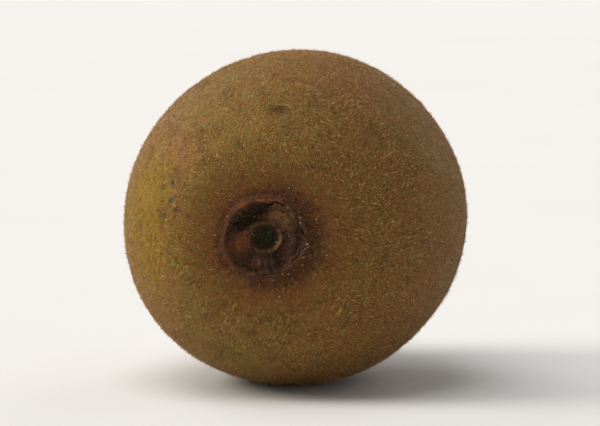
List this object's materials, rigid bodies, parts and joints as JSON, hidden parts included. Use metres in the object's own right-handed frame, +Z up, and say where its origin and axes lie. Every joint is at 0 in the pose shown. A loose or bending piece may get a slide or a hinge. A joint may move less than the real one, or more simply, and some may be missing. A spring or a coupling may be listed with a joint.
{
  "type": "golden kiwi fruit",
  "caption": "Whole golden kiwifruit lying on its side: a brown-gold ovoid with short fuzz, a corky stem scar and, at the opposite end, dried styles in a puckered pit.",
  "frame": {"origin": "bottom centre of the fruit's box, on the surface that it lies on", "axes": "+Z up; +Y along the fruit from the stem end at -Y to the flower end at +Y; +X to the right, seen from the stem end"},
  "size_m": [0.0538, 0.066, 0.0525],
  "materials": {
    "skin": "dull olive-gold to brown skin with rusty specks and short soft fuzz; the corky stem scar and the dried styles are dark brown"
  },
  "bodies": {
    "root": {"kiwifruit": "skin"}
  },
  "joints": []
}
